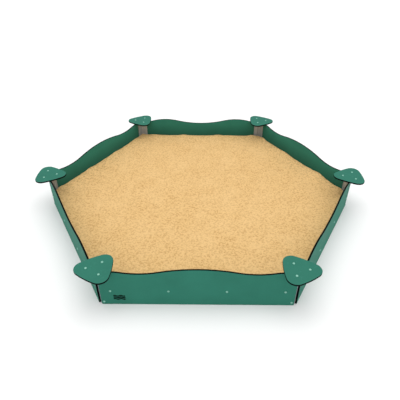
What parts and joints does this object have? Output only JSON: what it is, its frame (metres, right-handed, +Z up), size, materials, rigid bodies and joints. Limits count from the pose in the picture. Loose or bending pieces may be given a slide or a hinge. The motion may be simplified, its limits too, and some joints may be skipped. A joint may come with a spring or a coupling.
{
  "type": "sandbox",
  "caption": "Low hexagonal sandbox of green plastic boards with wavy top edges, a three-cornered seat over each corner, steel corner brackets and a sand fill.",
  "frame": {"origin": "centre of the hexagon, on the ground", "axes": "+Z up, +X from the middle to a corner, +Y from the middle to the middle of a wall; the front wall faces -Y"},
  "size_m": [3.183, 2.844, 0.3689],
  "materials": {
    "panel_board": "three-layer board, fine grained green skins on a black core",
    "seat_board": "three-layer board, fine grained green skins on a black core",
    "corner_steel": "bent strip, dull grey, lengthwise grain",
    "galvanised_steel": "hot-dip galvanised",
    "stainless_fasteners": "stainless steel",
    "cap_plastic": "light green moulded plastic",
    "sand": "loose golden play sand"
  },
  "bodies": {
    "root": {"panel_front": "panel_board", "panel_front_right": "panel_board", "panel_back_right": "panel_board", "panel_back": "panel_board", "panel_back_left": "panel_board", "panel_front_left": "panel_board", "seat_right": "seat_board", "seat_back_right": "seat_board", "seat_back_left": "seat_board", "seat_left": "seat_board", "seat_front_left": "seat_board", "seat_front_right": "seat_board", "corner_bracket_right": "corner_steel", "corner_bracket_back_right": "corner_steel", "corner_bracket_back_left": "corner_steel", "corner_bracket_left": "corner_steel", "corner_bracket_front_left": "corner_steel", "corner_bracket_front_right": "corner_steel", "front_anchor_far_left": "galvanised_steel", "front_anchor_left": "galvanised_steel", "front_anchor_right": "galvanised_steel", "front_anchor_far_right": "galvanised_steel", "front_right_anchor_far_left": "galvanised_steel", "front_right_anchor_left": "galvanised_steel", "front_right_anchor_right": "galvanised_steel", "front_right_anchor_far_right": "galvanised_steel", "back_right_anchor_far_left": "galvanised_steel", "back_right_anchor_left": "galvanised_steel", "back_right_anchor_right": "galvanised_steel", "back_right_anchor_far_right": "galvanised_steel", "back_anchor_far_left": "galvanised_steel", "back_anchor_left": "galvanised_steel", "back_anchor_right": "galvanised_steel", "back_anchor_far_right": "galvanised_steel", "back_left_anchor_far_left": "galvanised_steel", "back_left_anchor_left": "galvanised_steel", "back_left_anchor_right": "galvanised_steel", "back_left_anchor_far_right": "galvanised_steel", "front_left_anchor_far_left": "galvanised_steel", "front_left_anchor_left": "galvanised_steel", "front_left_anchor_right": "galvanised_steel", "front_left_anchor_far_right": "galvanised_steel", "panel_bolts": "stainless_fasteners", "panel_bolt_caps": "cap_plastic", "panel_washers": "stainless_fasteners", "panel_nuts": "stainless_fasteners", "seat_bolts": "stainless_fasteners", "seat_bolt_caps": "cap_plastic", "seat_washers": "stainless_fasteners", "seat_nuts": "stainless_fasteners", "sand_fill": "sand"}
  },
  "joints": []
}
